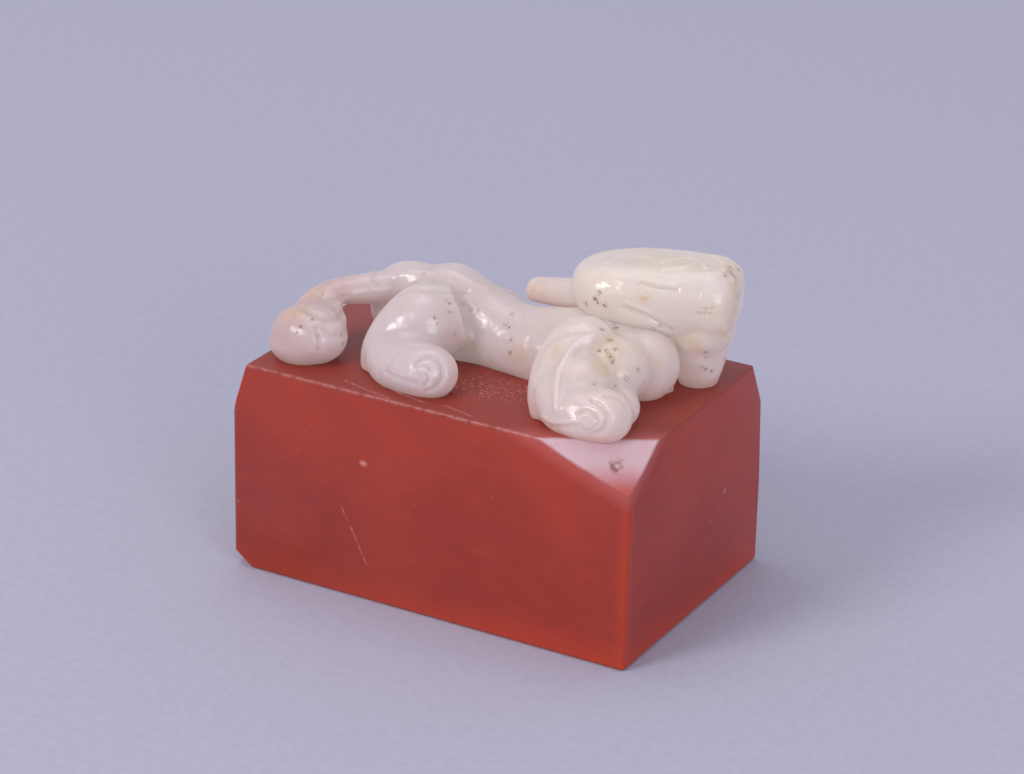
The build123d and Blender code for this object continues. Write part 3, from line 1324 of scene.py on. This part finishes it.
@dataclass
class DragonBody(Sculpture):
    """Body, legs, paws and tail, carved from one mass."""

    name: str = "dragon_body"
    voxel: float = 0.096
    carving: Carving = Carving(BODY_STROKES + FAR_BODY_STROKES, BODY_STAINS, BODY_SPECKS)
    nodes: tuple[str, ...] = (
        "dragon_torso",
        "dragon_chest",
        "near_hind_leg",
        "near_hind_scroll",
        "near_hind_paw",
        "far_hind_leg",
        "far_hind_paw",
        "near_foreleg",
        "near_fore_scroll",
        "near_fore_paw",
        "far_foreleg",
        "far_fore_paw",
        "tail",
        "tail_curl",
    )
    torso: Path = (
        (-7.9, 0.30, 14.60, 1.70, 3.20),
        (-7.0, 0.55, 14.20, 3.00, 5.00),
        (-5.6, 0.68, 13.98, 4.20, 6.60),
        (-3.4, 0.75, 13.98, 5.00, 7.80),
        (-0.8, 0.68, 13.98, 4.40, 5.80),
        (1.5, 0.45, 13.98, 4.60, 4.90),
        (5.5, 0.60, 13.98, 5.80, 6.20),
        (7.8, 1.35, 13.98, 5.40, 6.40),
        (10.0, 2.40, 13.98, 3.10, 4.70),
    )
    hind_leg: Path = (
        (-2.3, -1.2, 15.75, 3.4, 3.4),
        (-3.5, -2.4, 15.35, 4.7, 4.7),
        (-4.5, -3.6, 14.65, 3.9, 4.0),
        (-5.1, -4.4, 13.85, 2.9, 3.0),
        (-5.2, -4.7, 12.80, 2.4, 2.4),
    )
    fore_leg: Path = (
        (7.2, -1.0, 15.75, 3.7, 3.7),
        (6.7, -2.1, 15.50, 4.7, 4.7),
        (6.35, -3.5, 14.80, 4.3, 4.4),
        (6.35, -4.9, 13.95, 3.4, 3.4),
        (6.6, -5.5, 12.80, 2.6, 2.6),
    )
    hind_foot: Path = (
        (-4.9, -4.5, 14.2, 2.7, 2.7),
        (-4.1, -5.4, 13.9, 3.0, 2.9),
        (-2.8, -5.9, 13.95, 3.2, 3.1),
        (-1.2, -6.1, 14.15, 3.2, 3.2),
    )
    fore_foot: Path = (
        (6.7, -5.0, 14.3, 3.4, 3.2),
        (7.7, -5.8, 14.0, 3.6, 3.2),
        (9.0, -6.1, 14.0, 3.7, 3.2),
        (10.1, -6.1, 14.1, 3.4, 3.1),
    )
    far_hind_leg: Path = (
        (-4.7, 1.8, 15.1, 4.0, 3.5),
        (-5.4, 2.9, 14.7, 4.3, 3.7),
        (-5.9, 4.2, 13.9, 3.2, 2.9),
        (-6.0, 5.0, 12.8, 2.3, 2.3),
    )
    far_fore_leg: Path = (
        (7.2, 2.2, 15.4, 3.9, 3.7),
        (6.6, 3.5, 15.0, 4.4, 4.1),
        (6.3, 4.7, 14.0, 3.2, 3.0),
        (6.5, 5.4, 12.8, 2.5, 2.3),
    )
    tail: Path = (
        (-6.2, 0.45, 15.8, 1.9, 1.9),
        (-7.5, -0.6, 16.05, 2.0, 2.0),
        (-8.6, -1.6, 16.05, 1.8, 1.75),
        (-9.7, -2.5, 15.95, 1.75, 1.55),
        (-9.95, -3.6, 15.6, 2.7, 1.45),
        (-9.5, -4.8, 14.9, 3.5, 1.5),
        (-9.4, -5.4, 14.2, 3.0, 1.4),
    )
    pebbles: tuple[Pebble, ...] = (
        Pebble("chest", (9.2, 0.2, 14.65), (4.0, 4.3, 4.2)),
        Pebble("hind scroll", (-1.15, -6.1, 14.15), (3.3, 3.0, 3.1)),
        Pebble("fore scroll", (9.9, -6.2, 14.1), (3.6, 3.2, 3.1)),
        Pebble("wrist", (7.6, -4.3, 14.5), (4.7, 4.4, 4.2), turn=-20),
        Pebble("fore paw", (9.1, -4.6, 13.9), (4.3, 4.0, 2.8)),
        Pebble("breast", (8.3, -0.8, 15.2), (3.8, 3.8, 3.3)),
        Pebble("front of the shoulder", (8.4, -2.4, 15.1), (4.4, 4.4, 3.9)),
        Pebble("rump", (-5.7, 0.3, 16.35), (5.0, 2.8, 2.6)),
        Pebble("hind paw", (-3.4, -4.7, 14.3), (3.9, 3.2, 2.9)),
        Pebble("far hind paw", (-4.1, 5.5, 13.6), (4.9, 3.0, 2.4), turn=15),
        Pebble("far fore paw", (8.4, 5.5, 13.6), (5.3, 3.0, 2.4), turn=-10),
        Pebble("ball of the tail", (-9.55, -5.5, 14.4), (4.6, 3.9, 3.5)),
        Pebble("foot of the tail's ball", (-9.95, -5.8, 13.9), (3.9, 3.4, 2.7)),
        Pebble("root of the tail", (-7.9, 0.0, 16.2), (1.4, 1.2, 0.9)),
        Pebble("seat", (-7.0, 0.5, 14.4), (3.8, 3.2, 3.6)),
    )

    def limbs(self) -> list[tuple[Path, Section]]:
        """Lists the swelling forms, each with its section.

        Returns:
            Their paths, all oval.
        """
        near = (self.hind_leg, self.hind_foot, self.fore_leg, self.fore_foot)
        paths = (self.torso, *near, self.far_hind_leg, self.far_fore_leg, self.tail)
        return [(path, Section.OVAL) for path in paths]


@dataclass
class DragonHead(Sculpture):
    """Head with its mane's free end."""

    name: str = "dragon_head"
    voxel: float = 0.075
    carving: Carving = Carving(HEAD_STROKES + FAR_HEAD_STROKES, HEAD_STAINS, HEAD_SPECKS)
    nodes: tuple[str, ...] = ("dragon_skull", "dragon_muzzle", "mane_lock")
    skull: Path = (
        (4.0, 1.55, 17.6, 2.4, 2.0),
        (4.9, 1.95, 17.8, 4.5, 3.5),
        (6.8, 2.55, 17.9, 5.6, 4.15),
        (9.0, 3.3, 17.95, 5.8, 4.3),
        (11.25, 3.9, 18.0, 5.5, 4.2),
        (12.1, 4.13, 18.03, 5.2, 4.0),
        (12.65, 4.3, 18.05, 4.4, 3.35),
        (12.95, 4.38, 18.05, 3.0, 2.3),
        (13.05, 4.41, 18.05, 1.2, 0.9),
    )
    muzzle: Path = (
        (11.1, 3.8, 17.7, 3.4, 3.4),
        (11.15, 3.6, 16.3, 3.7, 3.9),
        (11.15, 3.35, 14.65, 3.0, 3.2),
        (11.1, 3.25, 12.85, 2.1, 2.2),
    )
    lock: Path = (
        (0.6, 2.95, 16.5, 1.6, 1.5),
        (2.5, 2.7, 16.8, 1.8, 1.7),
        (5.0, 2.3, 17.4, 2.0, 1.9),
    )
    pebbles: tuple[Pebble, ...] = (
        Pebble("end of the lock", (0.7, 2.95, 16.5), (1.3, 1.6, 1.5)),
        Pebble("jaw", (11.2, 3.0, 16.5), (3.9, 3.4, 3.6)),
    )

    def limbs(self) -> list[tuple[Path, Section]]:
        """Lists the swelling forms, each with its section."""
        return [(self.skull, Section.BOXY), (self.muzzle, Section.OVAL), (self.lock, Section.OVAL)]


# Studio


@dataclass(frozen=True)
class Lamp:
    """One soft lamp, aimed at the seal; places and sizes are in metres."""

    name: str
    place: Place
    size: float
    power: float
    colour: Colour
    target: Place = (0, 0, 0.01)

    def hang(self) -> None:
        """Adds the lamp to the scene."""
        data = bpy.data.lights.new(self.name, "AREA")
        data.shape = "DISK"
        data.size = self.size
        data.energy = self.power
        data.color = self.colour
        lamp = bpy.data.objects.new(self.name, data)
        lamp.location = self.place
        aim = Vector(self.target) - Vector(self.place)
        lamp.rotation_euler = aim.to_track_quat("-Z", "Y").to_euler()
        bpy.context.scene.collection.objects.link(lamp)


@dataclass
class Studio:
    """Floor, light and camera; sizes are in metres."""

    floor_radius: float = 1.2
    floor_points: int = 96
    nearest: float = 0.01
    farthest: float = 20.0
    sky: Colour = (0.86, 0.87, 1.0)
    sky_strength: float = 0.60
    lamps: tuple[Lamp, ...] = (
        Lamp("key_lamp", (-0.20, -0.40, 0.30), 0.20, 1.15, (1.0, 0.99, 0.97)),
        Lamp("top_lamp", (-0.10, 0.04, 0.55), 0.40, 0.55, (1.0, 0.99, 0.98)),
        Lamp("side_lamp", (0.42, -0.32, 0.16), 0.30, 0.85, (0.93, 0.95, 1.0)),
    )

    def floor(self) -> None:
        """Makes the floor."""
        form = bmesh.new()
        points, radius = self.floor_points, self.floor_radius
        bmesh.ops.create_circle(form, cap_ends=True, segments=points, radius=radius)
        piece = settled("floor", form)
        piece.data.materials.append(Paper().make())

    def light(self) -> None:
        """Sets the sky's even light and hangs the lamps."""
        world = bpy.data.worlds.new("soft_sky")
        world.use_nodes = True
        sky = world.node_tree.nodes["Background"]
        sky.inputs["Color"].default_value = (*self.sky, 1)
        sky.inputs["Strength"].default_value = self.sky_strength
        bpy.context.scene.world = world
        for lamp in self.lamps:
            lamp.hang()

    def camera(self) -> None:
        """Sets the camera where the photograph was taken from."""
        rightward, upward, backward = VIEWPOINT.axes()
        data = bpy.data.cameras.new("camera")
        data.lens = VIEWPOINT.lens
        data.sensor_width = VIEWPOINT.sensor
        data.clip_start = self.nearest
        data.clip_end = self.farthest
        camera = bpy.data.objects.new("camera", data)
        turn = Matrix((rightward, upward, backward)).transposed().to_4x4()
        camera.matrix_world = Matrix.Translation(Vector(VIEWPOINT.place) * MM) @ turn
        bpy.context.scene.collection.objects.link(camera)
        bpy.context.scene.camera = camera

    def build(self) -> None:
        """Sets the whole studio up."""
        self.floor()
        self.light()
        self.camera()
        bpy.context.scene.view_settings.view_transform = "Standard"


def main() -> None:
    """Builds the studio and the seal."""
    logging.basicConfig(level=logging.INFO, format="%(message)s")
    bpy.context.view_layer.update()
    Studio().build()
    for part in (SealBlock(), DragonBody(), DragonHead()):
        piece = part.build()
        LOG.info("%s: %d faces", piece.name, len(piece.data.polygons))


if __name__ == "__main__":
    main()
